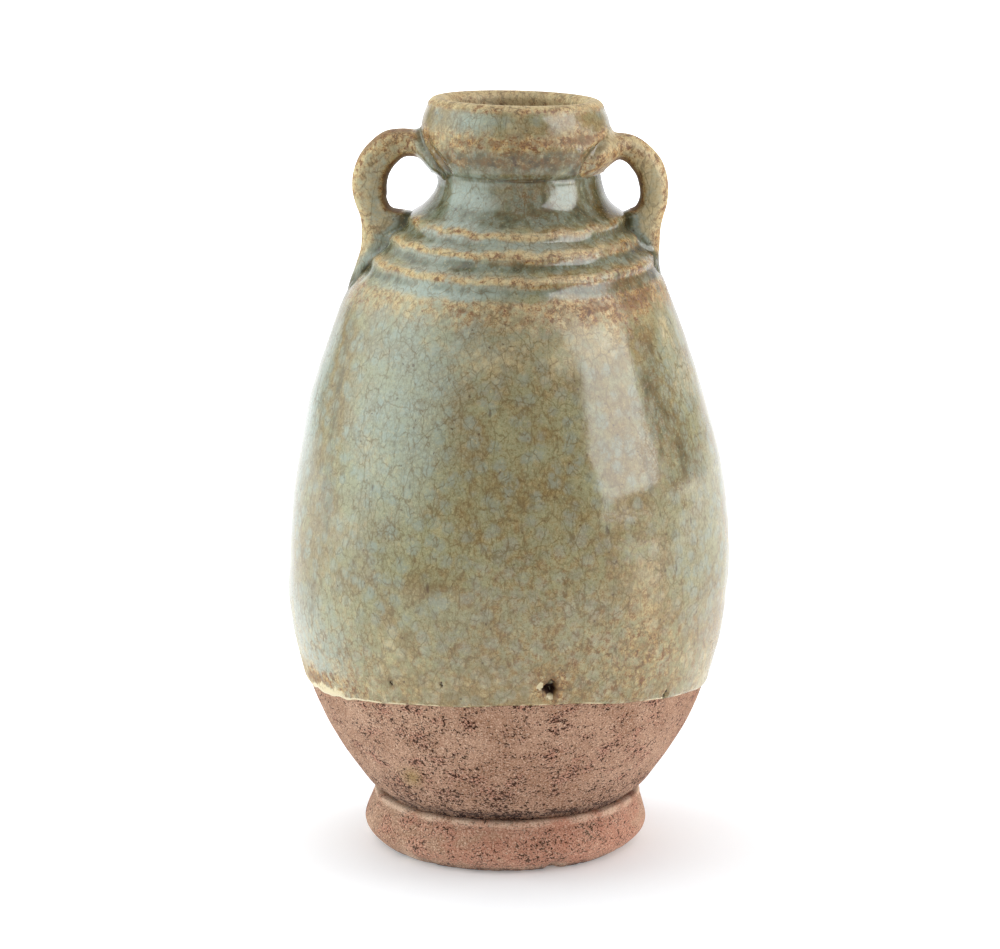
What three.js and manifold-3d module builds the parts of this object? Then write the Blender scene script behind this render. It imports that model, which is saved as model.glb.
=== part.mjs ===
// Two-handled stoneware bottle vase: thrown body, luted foot ring, waisted neck, cup mouth,
// two pulled loop handles, and the green glaze as its own thin shells over the clay.
// Millimetres, +Z up. The origin is the centre of the foot's resting plane, the loops lie
// along X, and -Y is the front.
import * as THREE from "three";
import { mergeVertices } from "three/addons/utils/BufferGeometryUtils.js";
import Module from "manifold-3d";

// Foot ring
const FOOT_HEIGHT = 10.8;
const FOOT_TOP_RADIUS = 27.0;
const FOOT_BULGE_RADIUS = 28.6;
const FOOT_BULGE_HEIGHT = 4.4;
const FOOT_REST_RADIUS = 25.2;
const FOOT_BORE_RADIUS = 17.5;
const FOOT_RECESS = 5.6;
const FOOT_CHAMFER = 0.6;

// Body: a foot waist, a belly and a shoulder joined by two power curves
const WAIST_RADIUS = 26.4;
const BELLY_RADIUS = 43.7;
const BELLY_RISE = 46.2;
const SHOULDER_RADIUS = 30.6;
const SHOULDER_RISE = 56.9;
const LOWER_CURVE = 2.19;
const UPPER_CURVE = 1.92;
const WALL = 4.2;
const FLOOR = 6.4;
const FLOOR_RADIUS = 17.0;
const INNER_LOWER_CURVE = 2.6;
const INNER_UPPER_CURVE = 2.7;

// Thrown ridges round the top of the shoulder
const RIDGE_COUNT = 3;
const RIDGE_PITCH = 3.9;
const RIDGE_RELIEF = 0.8;
const SHOULDER_DROP = 10.0;

// Neck and cup mouth
const NECK_RADIUS = 15.8;
const NECK_HEIGHT = 8.4;
const NECK_WAIST_RISE = 6.4;
const BORE_RADIUS = 12.4;
const CUP_OVERHANG = 0.45;
const CUP_FLARE_HEIGHT = 7.4;
const CUP_RADIUS = 18.2;
const CUP_WALL_HEIGHT = 4.8;
const CUP_TAPER = 0.9;
const LIP_HEIGHT = 1.8;
const LIP_INNER_RADIUS = 14.2;

// Glaze
const GLAZE_THICKNESS = 0.4;
const GLAZE_LINE_RISE = 23.4;
const GLAZE_LINE_DIP = 3.7;
const GLAZE_INSIDE_RISE = 3.6;

// Handles, each with its own sizes because both were pulled by hand.
// span: from the neck's waist out to the outside of the loop
// stemSpan: from the ridges' crests out to the outside of the stem, at the stem's foot
// archOut and archRise: the centre that the top turns about, from the neck's waist and foot
// crown: the top's height above the cup's foot
// thick and crownThick: the roll at its side and its top, wide: its size along Y
const LEFT = {
  side: -1,
  span: 16.7,
  stemSpan: 8.3,
  thick: 6.2,
  archOut: 6.5,
  archRise: 6.7,
  crown: 7.9,
  crownThick: 5.0,
  wide: 7.6,
  tailLength: 15.0,
};
const RIGHT = {
  side: 1,
  span: 13.2,
  stemSpan: 6.3,
  thick: 4.7,
  archOut: 4.5,
  archRise: 4.7,
  crown: 7.1,
  crownThick: 4.6,
  wide: 7.0,
  tailLength: 13.0,
};
const ROOT_DROP = 2.0;
const ROOT_SPREAD = 2.6;
const TAIL_TAPER = 1.75;
const TAIL_NARROWING = 0.55;
const EMBED = 1.6;
const SEAT_GAP = 0.3;

// How far each height's centre sits from the belly's axis along X: the pot sagged a little
const FOOT_DRIFT = -0.8;
const WAIST_DRIFT = -0.45;
const SHOULDER_DRIFT = -0.4;
const NECK_DRIFT = 1.9;
const LIP_DRIFT = 1.15;

// Facets
const TURNS = 36;
const ROLL_SIDES = 10;
const ROLL_RINGS = 20;

// Heights that follow from the sizes above
const bellyHeight = FOOT_HEIGHT + BELLY_RISE;
const shoulderHeight = bellyHeight + SHOULDER_RISE;
const ridgedHeight = (RIDGE_COUNT + 0.5) * RIDGE_PITCH;
const neckFoot = shoulderHeight + ridgedHeight;
const neckWaist = neckFoot + NECK_WAIST_RISE;
const cupFoot = neckFoot + NECK_HEIGHT;
const cupWidest = cupFoot + CUP_FLARE_HEIGHT;
const cupWallTop = cupWidest + CUP_WALL_HEIGHT;
const lipTop = cupWallTop + LIP_HEIGHT;
const glazeLine = FOOT_HEIGHT + GLAZE_LINE_RISE;
const glazeInside = neckFoot + GLAZE_INSIDE_RISE;
const floorTop = FOOT_RECESS + FLOOR;

const wasm = await Module();
wasm.setup();

const point = (radius, height) => new THREE.Vector2(radius, height);

// `count` steps from `from` to `to`, both ends included
function steps(from, to, count) {
  return Array.from({ length: count + 1 }, (_, i) => from + ((to - from) * i) / count);
}

// Clay radius of the body outside, up to the neck's foot
function bodyRadius(height) {
  if (height <= bellyHeight) {
    const below = (bellyHeight - height) / BELLY_RISE;
    return BELLY_RADIUS - (BELLY_RADIUS - WAIST_RADIUS) * below ** LOWER_CURVE;
  }
  if (height <= shoulderHeight) {
    const above = (height - bellyHeight) / SHOULDER_RISE;
    return BELLY_RADIUS - (BELLY_RADIUS - SHOULDER_RADIUS) * above ** UPPER_CURVE;
  }
  const ridges = Math.cos((2 * Math.PI * (height - shoulderHeight)) / RIDGE_PITCH) - 1;
  return crestRadius(height) + (RIDGE_RELIEF / 2) * ridges;
}

// Radius of the plain cone that the ridges' crests lie on, and of the body below it
function crestRadius(height) {
  if (height <= shoulderHeight) return bodyRadius(height);
  return SHOULDER_RADIUS - (SHOULDER_DROP * (height - shoulderHeight)) / ridgedHeight;
}

// Clay radius of the neck outside: a parabola about its waist
function neckRadius(height) {
  const flare = bodyRadius(neckFoot) - NECK_RADIUS;
  return NECK_RADIUS + flare * ((neckWaist - height) / NECK_WAIST_RISE) ** 2;
}

// Radius of the hollow inside the body
function hollowRadius(height) {
  const belly = BELLY_RADIUS - WALL;
  if (height <= bellyHeight) {
    const below = (bellyHeight - height) / (bellyHeight - floorTop);
    return belly - (belly - FLOOR_RADIUS) * below ** INNER_LOWER_CURVE;
  }
  const above = (height - bellyHeight) / (neckFoot - bellyHeight);
  return belly - (belly - BORE_RADIUS) * above ** INNER_UPPER_CURVE;
}

const along = (heights, radius) => heights.map((h) => point(radius(h), h));

// Outside of the clay, from the foot to the neck, in stretches that the glaze shares
const bareOutside = along(steps(FOOT_HEIGHT, glazeLine, 4), bodyRadius);
const glazedOutside = [
  ...along(steps(glazeLine, bellyHeight, 3), bodyRadius),
  ...along(steps(bellyHeight, shoulderHeight, 5), bodyRadius).slice(1),
  ...along(steps(shoulderHeight, neckFoot, (RIDGE_COUNT + 0.5) * 4), bodyRadius).slice(1),
];
const neckOutside = along(steps(neckFoot, cupFoot, 4), neckRadius);

// Outside of the cup: flare, tapering wall, then half an ellipse over the lip
const cupFootRadius = neckRadius(cupFoot) + CUP_OVERHANG;
const cupTopRadius = CUP_RADIUS - CUP_TAPER;
const flareCurve = new THREE.QuadraticBezierCurve(
  point(cupFootRadius, cupFoot),
  point(CUP_RADIUS, cupFoot + CUP_FLARE_HEIGHT * 0.55),
  point(CUP_RADIUS, cupWidest),
);
const wallCurve = new THREE.QuadraticBezierCurve(
  point(CUP_RADIUS, cupWidest),
  point(CUP_RADIUS, cupWidest + CUP_WALL_HEIGHT / 2),
  point(cupTopRadius, cupWallTop),
);
const lipHalfWidth = (cupTopRadius - LIP_INNER_RADIUS) / 2;
const lipCurve = new THREE.EllipseCurve(
  LIP_INNER_RADIUS + lipHalfWidth,
  cupWallTop,
  lipHalfWidth,
  LIP_HEIGHT,
  0,
  Math.PI,
);
const cupFlank = [...flareCurve.getPoints(4), ...wallCurve.getPoints(2).slice(1)];
const cupOutside = [...cupFlank, ...lipCurve.getPoints(5).slice(1)];
const cupInside = [
  point((LIP_INNER_RADIUS + BORE_RADIUS) / 2, cupWidest),
  point(BORE_RADIUS, cupFoot),
];

// Inside of the body, from the neck's foot down to the floor
const hollow = [
  ...along(steps(neckFoot, bellyHeight, 5), hollowRadius),
  ...along(steps(bellyHeight, floorTop, 4), hollowRadius).slice(1),
];

// How far the pot's centre has drifted along X at a height
const driftStations = [
  [0, FOOT_DRIFT],
  [FOOT_HEIGHT, WAIST_DRIFT],
  [bellyHeight, 0],
  [shoulderHeight - ridgedHeight / 2, SHOULDER_DRIFT],
  [neckWaist, NECK_DRIFT],
  [lipTop, LIP_DRIFT],
];
function drift(height) {
  const last = driftStations.length - 1;
  if (height >= driftStations[last][0]) return driftStations[last][1];
  const i = Math.max(0, driftStations.findIndex(([h]) => h > height) - 1);
  const [low, from] = driftStations[i];
  const [high, to] = driftStations[i + 1];
  return THREE.MathUtils.lerp(from, to, THREE.MathUtils.smoothstep(height, low, high));
}

// Share of the glaze line's dip that a height takes: all at the line, none at floor and belly
function dipShare(height) {
  const below = (height - floorTop) / (glazeLine - floorTop);
  const above = (bellyHeight - height) / (bellyHeight - glazeLine);
  return Math.max(0, Math.min(below, above));
}

// Lifts the glaze line front and back and lowers it at the sides, along the body's curve,
// then moves every vertex by the drift at its height, so that all pieces stay fitted
function settled(geometry) {
  const p = geometry.attributes.position;
  for (let i = 0; i < p.count; i++) {
    const [x, y, z] = [p.getX(i), p.getY(i), p.getZ(i)];
    const radius = Math.hypot(x, y);
    const lift = radius > 0 ? (GLAZE_LINE_DIP * dipShare(z) * (y * y - x * x)) / radius ** 2 : 0;
    const grow = lift ? 1 + (bodyRadius(z + lift) - bodyRadius(z)) / radius : 1;
    p.setXYZ(i, x * grow + drift(z + lift), y * grow, z + lift);
  }
  return geometry;
}

// Turns a profile (radius, height), drawn anticlockwise, about Z
function turned(profile) {
  const lathe = new THREE.LatheGeometry(profile, TURNS);
  return settled(lathe.rotateX(Math.PI / 2));
}

function solid(geometry) {
  const bare = new THREE.BufferGeometry();
  bare.setAttribute("position", geometry.getAttribute("position"));
  bare.setIndex(geometry.index);
  const merged = mergeVertices(bare, 1e-4);
  const kept = [];
  const index = merged.index.array;
  for (let i = 0; i < index.length; i += 3) {
    const [a, b, c] = [index[i], index[i + 1], index[i + 2]];
    if (a !== b && b !== c && c !== a) kept.push(a, b, c);
  }
  return new wasm.Manifold(
    new wasm.Mesh({
      numProp: 3,
      vertProperties: new Float32Array(merged.attributes.position.array),
      triVerts: new Uint32Array(kept),
    }),
  );
}

function geometryOf(made) {
  const mesh = made.getMesh();
  const geometry = new THREE.BufferGeometry();
  geometry.setAttribute("position", new THREE.BufferAttribute(mesh.vertProperties, 3));
  geometry.setIndex(new THREE.BufferAttribute(mesh.triVerts, 1));
  geometry.computeVertexNormals();
  return geometry;
}

// A path moved sideways by `by`, to the right of its direction of travel
function offset(path, by) {
  return path.map((p, i) => {
    const before = path[Math.max(i - 1, 0)];
    const after = path[Math.min(i + 1, path.length - 1)];
    const into = p.clone().sub(before).normalize();
    const out = after.clone().sub(p).normalize();
    const travel = into.add(out).normalize();
    return point(p.x + travel.y * by, p.y - travel.x * by);
  });
}

const clayMaterial = new THREE.MeshStandardMaterial({
  color: 0xb08b78,
  roughness: 0.9,
  metalness: 0,
});
const glazeMaterial = new THREE.MeshStandardMaterial({
  color: 0x9da38a,
  roughness: 0.2,
  metalness: 0,
});

const vase = new THREE.Group();
function add(name, geometry, material) {
  const mesh = new THREE.Mesh(geometry, material);
  mesh.name = name;
  vase.add(mesh);
}

// Foot ring: a bulging band, luted on to the cone under the body
const footCurve = new THREE.SplineCurve([
  point(FOOT_REST_RADIUS + FOOT_CHAMFER, FOOT_CHAMFER),
  point(FOOT_BULGE_RADIUS, FOOT_BULGE_HEIGHT),
  point(FOOT_TOP_RADIUS, FOOT_HEIGHT - FOOT_CHAMFER),
]);
add(
  "foot_ring",
  turned([
    point(FOOT_BORE_RADIUS + FOOT_CHAMFER, 0),
    point(FOOT_REST_RADIUS, 0),
    ...footCurve.getPoints(6),
    point(WAIST_RADIUS, FOOT_HEIGHT),
    point(FOOT_BORE_RADIUS, FOOT_RECESS),
    point(FOOT_BORE_RADIUS, FOOT_CHAMFER),
    point(FOOT_BORE_RADIUS + FOOT_CHAMFER, 0),
  ]),
  clayMaterial,
);

// Body: thrown egg with a thick floor, open at the neck
const body = turned([
  point(0, FOOT_RECESS),
  point(FOOT_BORE_RADIUS, FOOT_RECESS),
  ...bareOutside,
  ...glazedOutside.slice(1),
  ...hollow,
  point(0, floorTop),
]);
add("body", body, clayMaterial);

const neck = turned([
  ...neckOutside,
  point(BORE_RADIUS, cupFoot),
  point(BORE_RADIUS, glazeInside),
  point(BORE_RADIUS, neckFoot),
  neckOutside[0],
]);
add("neck", neck, clayMaterial);

const mouthCup = turned([...cupOutside, ...cupInside, cupOutside[0]]);
add("mouth_cup", mouthCup, clayMaterial);

// Glaze coat: up the outside, over the lip and down inside. It is drawn thick into the
// wall and the clay is cut out of it, so the two share one surface.
const covered = [
  ...glazedOutside,
  ...neckOutside.slice(1),
  ...cupOutside,
  ...cupInside,
  point(BORE_RADIUS, glazeInside),
];
const glazeFace = offset(covered, GLAZE_THICKNESS);
const withinWall = offset(covered, -GLAZE_THICKNESS).toReversed();
let coat = solid(turned([...glazeFace, ...withinWall, glazeFace[0]]));
for (const clay of [body, neck, mouthCup]) coat = coat.subtract(solid(clay));

// A filled pot, `grown` larger than the clay, that cuts what seats on its outside
function filledPot(grown) {
  const outside = [
    point(WAIST_RADIUS, FOOT_HEIGHT),
    ...glazedOutside,
    ...neckOutside.slice(1),
    ...cupFlank,
  ];
  const skin = offset(outside, grown);
  const top = skin[skin.length - 1];
  return solid(turned([point(0, skin[0].y), ...skin, point(0, top.y)]));
}

// Stations down a handle, from its root under the cup to its tail on the shoulder. Each
// holds the outer and the inner edge, as distance out and height, and the width.
function handleStations(handle) {
  const { span, stemSpan, thick, archOut, archRise, crown, crownThick, wide } = handle;
  const wallAt = neckRadius(cupFoot) + CUP_OVERHANG;
  const reach = NECK_RADIUS + span;
  const arch = NECK_RADIUS + archOut;
  const crownTop = cupFoot + crown;
  const spring = neckFoot + archRise;
  const stemFoot = neckFoot - RIDGE_PITCH / 2;
  const stemReach = crestRadius(stemFoot) + stemSpan;
  const root = [-2 * EMBED, EMBED / 2].map((out, i) => ({
    outer: point(wallAt + out, crownTop - EMBED / 4),
    inner: point(wallAt + out, crownTop - crownThick - ROOT_DROP / (i + 1)),
    width: wide * (1 + (ROOT_SPREAD - 1) / (i + 1)),
  }));
  const archTurns = steps(Math.PI / 2, 0, 3).map((turn) => ({
    outer: point(
      arch + (reach - arch) * Math.cos(turn),
      spring + (crownTop - spring) * Math.sin(turn),
    ),
    inner: point(
      arch + (reach - thick - arch) * Math.cos(turn),
      spring + (crownTop - crownThick - spring) * Math.sin(turn),
    ),
    width: wide,
  }));
  const stem = {
    outer: point((reach + stemReach) / 2, neckFoot + RIDGE_PITCH / 4),
    inner: point((reach + stemReach) / 2 - thick, neckFoot + RIDGE_PITCH / 4),
    width: wide,
  };
  const tail = steps(0, 1, 3).map((share) => {
    const height = stemFoot - handle.tailLength * share;
    const relief = stemSpan * (1 - share) ** TAIL_TAPER;
    return {
      outer: point(crestRadius(height) + relief, height),
      inner: point(crestRadius(height) - EMBED, height),
      width: wide * (1 - TAIL_NARROWING * share),
    };
  });
  return [...root, ...archTurns, stem, ...tail];
}

// A roll of clay along a handle's stations, its oval section grown by `grown` all round
function roll(handle, grown) {
  const stations = handleStations(handle);
  const outerEdge = new THREE.SplineCurve(stations.map(({ outer }) => outer));
  const innerEdge = new THREE.SplineCurve(stations.map(({ inner }) => inner));
  const widths = new THREE.SplineCurve(stations.map(({ width }, i) => point(i, width)));
  const positions = [];
  for (const t of steps(0, 1, ROLL_RINGS)) {
    const outer = outerEdge.getPoint(t);
    const inner = innerEdge.getPoint(t);
    const centre = outer.clone().lerp(inner, 0.5);
    const across = outer.clone().sub(centre);
    across.setLength(across.length() + grown);
    const halfWidth = widths.getPoint(t).y / 2 + grown;
    for (let k = 0; k < ROLL_SIDES; k++) {
      const turn = (2 * Math.PI * k) / ROLL_SIDES;
      const out = centre.x + across.x * Math.cos(turn);
      const height = centre.y + across.y * Math.cos(turn);
      positions.push(handle.side * out, handle.side * halfWidth * Math.sin(turn), height);
    }
  }
  const faces = [];
  for (let i = 0; i < ROLL_RINGS; i++)
    for (let k = 0; k < ROLL_SIDES; k++) {
      const next = (k + 1) % ROLL_SIDES;
      const [a, b] = [i * ROLL_SIDES + k, i * ROLL_SIDES + next];
      const [c, d] = [a + ROLL_SIDES, b + ROLL_SIDES];
      faces.push(a, d, b, a, c, d);
    }
  const last = ROLL_RINGS * ROLL_SIDES;
  for (let k = 1; k < ROLL_SIDES - 1; k++) {
    faces.push(0, k, k + 1);
    faces.push(last, last + k + 1, last + k);
  }
  const geometry = new THREE.BufferGeometry();
  geometry.setAttribute("position", new THREE.Float32BufferAttribute(positions, 3));
  geometry.setIndex(faces);
  return solid(settled(geometry));
}

const clayCutter = filledPot(SEAT_GAP);
const glazeCutter = filledPot(GLAZE_THICKNESS + SEAT_GAP);
for (const [name, handle] of [
  ["handle_left", LEFT],
  ["handle_right", RIGHT],
]) {
  const core = roll(handle, 0);
  add(name, geometryOf(core.subtract(clayCutter)), clayMaterial);
  const sleeve = roll(handle, GLAZE_THICKNESS).subtract(core).subtract(glazeCutter);
  add(`glaze_${name}`, geometryOf(sleeve), glazeMaterial);
  coat = coat.subtract(roll(handle, SEAT_GAP));
}
add("glaze_coat", geometryOf(coat), glazeMaterial);

export default vase;
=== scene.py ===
"""Looks of the two-handled stoneware bottle vase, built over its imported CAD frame.

Shapes are worked out in millimetres and written to the meshes in metres. A direction round
the pot, its turn, is an angle in degrees from the front, -Y, that grows towards +X, where one
handle is. All random draws are seeded.
"""

import math
from types import SimpleNamespace

import bpy
import numpy as np
from mathutils import Matrix, Vector


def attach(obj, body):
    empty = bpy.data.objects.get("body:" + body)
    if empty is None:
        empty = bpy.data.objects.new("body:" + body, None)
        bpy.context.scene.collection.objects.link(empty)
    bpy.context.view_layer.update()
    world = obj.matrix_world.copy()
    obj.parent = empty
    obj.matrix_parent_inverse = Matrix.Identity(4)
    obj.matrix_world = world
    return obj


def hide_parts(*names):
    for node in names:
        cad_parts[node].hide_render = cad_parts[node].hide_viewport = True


bl_info = {
    "name": "Two-handled stoneware vase",
    "version": (1, 0, 0),
    "blender": (4, 5, 0),
    "location": "3D View > Sidebar > Vase",
    "description": "Builds a thrown vase with pulled handles and a crackled green glaze",
    "category": "Add Mesh",
}

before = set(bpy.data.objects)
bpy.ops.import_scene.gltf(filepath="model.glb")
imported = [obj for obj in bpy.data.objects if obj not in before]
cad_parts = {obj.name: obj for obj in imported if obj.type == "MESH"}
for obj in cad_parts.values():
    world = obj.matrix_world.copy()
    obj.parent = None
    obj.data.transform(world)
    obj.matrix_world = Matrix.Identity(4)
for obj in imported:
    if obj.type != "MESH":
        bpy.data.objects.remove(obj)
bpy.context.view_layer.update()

MM = 0.001
SEED = 7

# Heights and radii of the pot, in mm
FOOT_TOP = 10.8
BELLY = 57
BELLY_RADIUS = 43.7
SHOULDER = 111
NECK_FOOT = 127.55
CUP_FOOT = 135.95
WALL_TOP = 148.2
LIP_CENTRE = 15.4
LIP_HALF_WIDTH = 1.55
LIP_RISE = 1.45
BORE_RADIUS = 12.4
BORE_AT_FOOT = 17.5
HOLLOW_RADIUS = 39.5
FOOT_RECESS = 5.6
FLOOR_TOP = 12
GLAZE_INSIDE = 131.2
GLAZE_EDGE = 36.1
GLAZE_EDGE_DIP = 2
GLAZE_THICKNESS = 0.4

# Heights of bands in the upper glaze: it pools in the first four and is thin on the others
GROOVES = (116, 120.2, 124.1)
NECK_POOL = 128.8
NECK_WAIST = 133
CUP_FLARE = 139.4
CUP_BAND = 143.2
LIP_EDGE = 149
RIM = 149.9

# Angle of the crumbly left end of the glaze's edge
CRUST = -62

# Clay radius at heights from the shoulder to the top of the cup's wall
UPPER_WALL = (
    (108, 33.02), (111, 31.8), (114, 30.3), (117, 28.2), (120.4, 25.6),
    (124.2, 22.5), (127.2, 20.1), (128.4, 18.9), (130, 17.4), (131.6, 16.4),
    (133.2, 15.85), (135, 15.8), (135.9, 16), (136.6, 16.6), (138.4, 17.4),
    (141, 18.1), (143.4, 18.25), (145.4, 18), (147, 17.55), (148.3, 16.95),
)

# Height, rise and width of each ridge, and how far the pot's centre drifts along X by height
RIDGES = ((117.8, 0.95, 1.25), (122.1, 0.9, 1.15), (125.7, 0.7, 1))
DRIFT = (
    (0, -0.8), (5, -0.8), (12, -0.45), (50, -0.45), (58, 0), (78, 0), (92, -0.5),
    (109, -0.5), (122, 0.7), (129, 1.6), (133, 2), (137, 1.5), (143, 1.2), (150, 1.2),
)

# Burst bubbles in the glaze: angle, height and radius of the hole
BUBBLES = ((11, 41.9, 1.1), (47.8, 36.9, 0.5), (-31.8, 41.5, 0.3), (-17.2, 42.4, 0.25))

# Place along X and height of a green-yellow stain on the bare clay
STAIN = (-19, 20)

# Smears on the skin, most of them round the handles: angle and height of points along each,
# its width and rise, and how much thicker, browner and milkier the glaze is on it. On the raised
# ridges at the handles' roots the thinner, milkier glaze is partly a painted highlight
SMEARS = (
    # Raised ridge at the left root: thin, milky glaze, its paleness partly a painted highlight along the
    # ridge and a painted glint at its lower end
    (((-62, 144.2), (-52.5, 141.5), (-47.8, 139.8), (-45.5, 138.4)), 0.45, 0.5, -1, 0, 0.3),
    (((-45.5, 138.4), (-44.5, 137.4)), 0.8, 0.35, -0.4, 0, 0.9),
    (((-66, 142.2), (-56, 139.6), (-50, 137.2)), 0.9, -0.4, 1.6, 0, 0),
    # Raised ridge at the right root: thin, milky glaze, its paleness partly a painted highlight along the
    # ridge
    (((68, 144), (49.8, 142.6), (39.8, 141)), 0.5, 0.4, -0.7, 0, 0.9),
    (((66, 142.4), (49.8, 140.9), (41.8, 139), (37, 137)), 0.6, -0.3, 1.3, 0, 0),
    (((81, 124.6), (87, 121.6)), 0.75, -0.9, 2.2, 0, 0),
    (((75, 121.6), (82, 119.6)), 0.9, 0.4, -0.2, 0, 1.2),
    (((83, 119), (71.5, 117), (70.5, 115)), 1.5, -0.1, 1.6, 0, 0),
    (((-84.5, 121), (-81, 118.5), (-76.5, 115.8)), 1.3, -0.2, 1.1, 0, 0.4),
    (((-81.8, 113.3), (-65.2, 108.4), (-62.2, 101.1), (-58.5, 89.9), (-55, 70)),
     2.6, 0, 0.55, 0.1, -0.9),
)

# Regional tints of the glaze: angle and height of the middle, the reach of both, and how much
# thicker, browner and milkier the glaze is there. Some rows are painted light instead: painted
# shade beside the right handle, and painted reflections on the neck and in the front groove
TINTS_AND_PAINTED_LIGHT = (
    (-34, 92, 28, 30, 0, 0, 0.6),
    (-25, 128, 40, 14, 0, 0, 0.7),
    (-64, 44, 22, 12, 0, 0, 0.9),
    (-76, 95, 10, 25, 0, 0, 0.8),
    (8, 62, 26, 15, 0.25, 0.3, -0.6),
    (49, 100, 7, 16, 0.6, 0.18, -0.5),
    (64, 96, 9, 16, -0.3, 0, 0.6),
    (37, 57, 9, 14, -0.35, 0.2, 0.4),
    (60, 82, 12, 9, 0.7, 0.1, -0.5),
    (42, 87, 9, 9, 0.5, 0.2, -0.4),
    (50, 115.5, 16, 3.5, 1.2, 0.3, -1.2),
    (44, 110, 12, 4, -0.2, 0.5, -0.6),
    # Painted reflection: milky, thinner glaze widens the window's reflection on the neck to the left
    (23, 133, 7, 4, -0.5, 0, 0.9),
    (80, 127, 14, 4, 0.9, 0, -0.6),
    (10, 105, 26, 7, -0.35, 0.05, 0.4),
    # Painted shade: thicker glaze darkens the neck beside the right handle and the shoulder under it, where
    # the handle shades them; the first is a little browner too
    (58, 131, 14, 6, 0.8, 0.1, -0.8),
    (72, 122, 12, 5, 1.1, 0, -0.5),
    # Painted reflection: milky, thinner glaze in the front groove under the top ridge, where a light shows
    # in it
    (6, 124, 22, 1.6, -0.9, 0.1, 0.9),
    (38, 145, 14, 3, -0.3, 0.55, 0),
    (36, 46, 24, 9, 0.2, 0.3, -0.3),
    (4, 133, 20, 4, 0.6, 0.3, -0.9),
    (2, 97, 22, 12, 0.1, 0.1, -0.1),
    (-32, 131, 20, 6, -0.55, 0, 0.5),
    (36, 133, 12, 4, -0.6, 0, 0.8),
    (-20, 116, 26, 1.6, -0.4, 0, 0.6),
    (-28, 147, 16, 3, -0.2, 0, 0.7),
    (4, 147, 14, 3, -0.35, 0.1, 0.2),
)

# Stations down each handle: distance out and height of the outer edge, the same for the
# inner edge, and the half width
LEFT_STATIONS = (
    (14.6, 144.1, 14, 137.4, 8.4), (16.6, 144, 15.8, 137.8, 7.6), (18.8, 144, 18.2, 138.6, 5.2),
    (21.4, 144.2, 20.6, 138.6, 4.2), (24.6, 143.7, 22.3, 137.3, 3.9), (27.4, 141.7, 23.3, 136, 3.8),
    (29.6, 139, 23.9, 134.7, 3.8), (30.9, 135.6, 24.2, 133.1, 3.8), (31.15, 132.4, 24.2, 131.4, 3.8),
    (30.6, 129.6, 24.2, 130.2, 3.8), (29.6, 126.8, 23, 128.4, 3.9), (29.3, 124, 18.8, 127.2, 4),
    (29.5, 120.5, 21.5, 121.6, 3.8), (30.5, 117.2, 27, 117.3, 3.3), (31.6, 114, 29.3, 113.6, 2.6),
    (32.4, 111, 31, 110.5, 1.8),
)
RIGHT_STATIONS = (
    (16.4, 143.4, 15.8, 136.2, 12.6), (18.6, 143.3, 18.2, 136.7, 11.6), (20.8, 143.2, 20, 137.5, 6.8),
    (23.3, 143, 21.4, 138, 4.2), (25.6, 142.1, 22.8, 137.5, 3.6), (28, 140.2, 24, 136.2, 3.5),
    (29.9, 137.8, 24.9, 134.8, 3.5), (30.9, 135, 25.4, 133.1, 3.5), (31.2, 132.2, 25.6, 131.8, 3.5),
    (31, 129.4, 25.5, 130.4, 3.5), (30.4, 127.2, 24.7, 128.8, 3.5), (29.8, 124.6, 22.4, 127.1, 3.5),
    (29.6, 121.5, 23.4, 122, 3.4), (29.5, 118.5, 27.4, 118.4, 3), (29.9, 115.5, 28.6, 115.2, 2.4),
    (30.8, 112.4, 30, 112, 1.6),
)


# Curves and small shaping functions

def eased(value, low, high):
    """Cubic ease from 0 at low to 1 at high."""
    share = np.clip((value - low) / (high - low), 0, 1)
    return share * share * (3 - 2 * share)


def bell(value, centre, width):
    """Bell of height 1 at centre that falls to 1/e at width from it."""
    return np.exp(-(((value - centre) / width) ** 2))


def away(turn, centre):
    """Angle from centre to turn, wrapped to -180 up to 180 degrees."""
    return (turn - centre + 180) % 360 - 180


def curve_through(points, at):
    """Cubic Hermite curve through (place, value) points, its slopes by finite difference."""
    places, values = np.array(points, float).T
    slopes = np.gradient(values, places)
    i = np.clip(np.searchsorted(places, at) - 1, 0, len(places) - 2)
    step = places[i + 1] - places[i]
    t = np.clip((at - places[i]) / step, 0, 1)
    start = (2 * t**3 - 3 * t**2 + 1) * values[i] + (t**3 - 2 * t**2 + t) * step * slopes[i]
    end = (3 * t**2 - 2 * t**3) * values[i + 1] + (t**3 - t**2) * step * slopes[i + 1]
    return start + end


def ripples(turn, height, count, longest, shortest, seed):
    """Sum of seeded cosine waves over the pot's skin, whole waves round it, about -1 to 1."""
    random = np.random.default_rng(seed)
    total = np.zeros(np.broadcast(turn, height).shape)
    for _ in range(count):
        length = random.uniform(shortest, longest)
        lean = random.uniform(0, 2 * np.pi)
        around = round(250 / length * math.cos(lean))
        up = 2 * np.pi / length * math.sin(lean)
        phase = random.uniform(0, 2 * np.pi)
        total = total + np.cos(around * np.radians(turn) + up * height + phase)
    return total / math.sqrt(count)


# The pot's skin

def drift(height):
    """How far the pot's centre sits from the belly's axis along X: eased between stations."""
    places, values = np.array(DRIFT).T
    i = np.clip(np.searchsorted(places, height, side="right") - 1, 0, len(places) - 2)
    share = eased(height, places[i], places[i + 1])
    return values[i] + (values[i + 1] - values[i]) * share


def plain_radius(height):
    """Clay radius without ridges: two power curves that meet at the belly, then a curve
    through the shoulder, the neck and the cup."""
    below = np.clip((BELLY - height) / (BELLY - FOOT_TOP), 0, None)
    above = np.clip((height - BELLY) / (SHOULDER - BELLY), 0, None)
    egg = BELLY_RADIUS - 17.3 * below**2.19 - 11.9 * above**1.9
    return np.where(height < SHOULDER, egg, curve_through(UPPER_WALL, height))


def ridge_rise(turn):
    """The ridges climb towards the handles: a squared sine of the angle from the front."""
    return 1.3 * np.sin(np.radians(turn)) ** 2


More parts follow.
